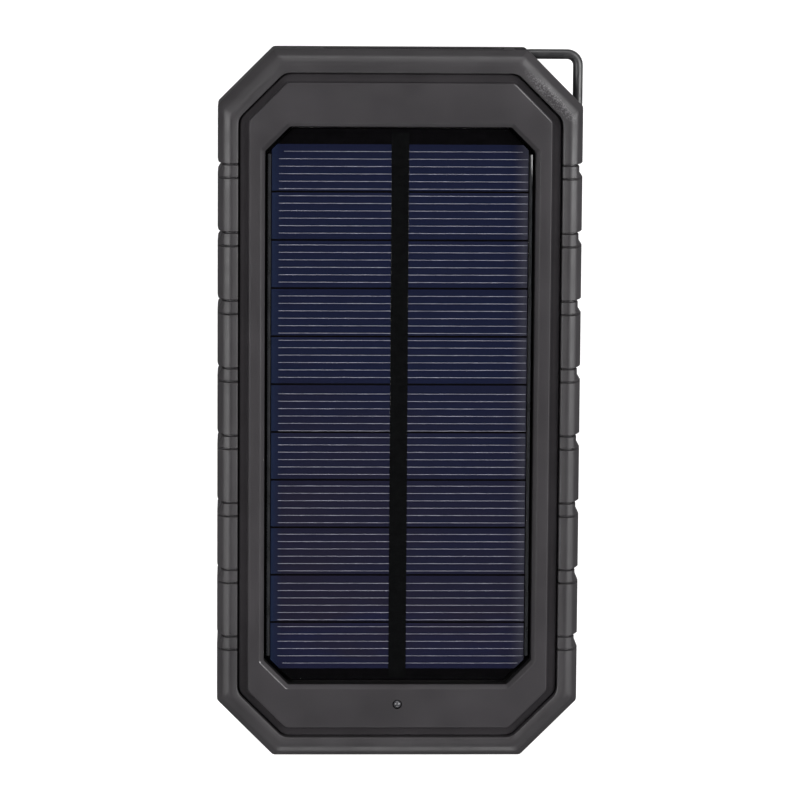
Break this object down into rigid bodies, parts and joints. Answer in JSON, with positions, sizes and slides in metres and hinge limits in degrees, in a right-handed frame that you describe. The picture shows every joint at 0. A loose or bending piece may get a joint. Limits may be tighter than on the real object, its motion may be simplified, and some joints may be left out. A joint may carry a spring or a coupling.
{
  "type": "solar phone charger",
  "caption": "Pocket solar power bank: clamshell case in a ribbed rubber bumper, recessed solar panel, output and input sockets on one end, side button and corner wire bail.",
  "frame": {"origin": "middle of the rear rest face", "axes": "+X across the case, +Y towards the end with the sockets, +Z out of the solar face"},
  "size_m": [0.0732, 0.1436, 0.0175],
  "materials": {
    "bumper_rubber": "fine satin moulded rubber",
    "case_plastic": "fine spark-eroded matt plastic",
    "bail_paint": "semi-gloss black paint",
    "board_black": "black solder mask",
    "cell_silicon": "dark blue silicon with pale printed fingers",
    "strip_black": "black mask",
    "laminate_clear": "clear glossy laminate",
    "adhesive_white": "foam adhesive",
    "wire_red": "plastic insulation",
    "pouch_foil": "satin laminated foil",
    "foam_black": "open foam",
    "nickel": "nickel plate",
    "board_green": "green solder mask",
    "socket_steel": "nickel-plated sheet steel",
    "socket_insulator": "white moulded insulator",
    "contact_gold": "gold flash",
    "ferrite": "grey ferrite",
    "chip_black": "moulded package",
    "lamp_white": "lamp package",
    "guide_clear": "clear moulded plastic",
    "screw_steel": "black oxide steel"
  },
  "bodies": {
    "case": {"battery_board": "board_green", "battery_cell": "pouch_foil", "battery_foam": "foam_black", "battery_leads": "wire_red", "battery_pad": "adhesive_white", "battery_tabs": "nickel", "board_capacitors": "socket_steel", "board_chips": "chip_black", "board_screws": "screw_steel", "bumper_frame": "bumper_rubber", "case_screws": "screw_steel", "front_cover": "case_plastic", "indicator_board": "board_green", "indicator_leads": "strip_black", "indicator_led": "lamp_white", "indicator_lens": "guide_clear", "input_shell": "socket_steel", "input_tongue": "chip_black", "level_light_guide": "guide_clear", "level_lights": "lamp_white", "main_board": "board_green", "panel_adhesive": "adhesive_white", "panel_board": "board_black", "panel_centre_strip": "strip_black", "panel_laminate": "laminate_clear", "panel_leads": "wire_red", "power_inductor": "ferrite", "rear_cover": "case_plastic", "solar_cells": "cell_silicon", "switch_body": "chip_black", "usb_contacts": "contact_gold", "usb_shell_left": "socket_steel", "usb_shell_right": "socket_steel", "usb_tongue_left": "socket_insulator", "usb_tongue_right": "socket_insulator"},
    "bail": {"bail": "bail_paint"},
    "button": {"button_cap": "case_plastic", "switch_plunger": "chip_black"}
  },
  "joints": [
    {"name": "bail_swing", "type": "hinge", "parent": "case", "child": "bail", "pos_m": [0.02898, 0.06398, 0.00875], "axis": [0.7071, -0.7071, 0], "range_deg": [-35, 35]},
    {"name": "button_press", "type": "slide", "parent": "case", "child": "button", "axis": [1, 0, 0], "range_m": [0, 0.0004], "stiffness_N_per_m": 5000}
  ]
}
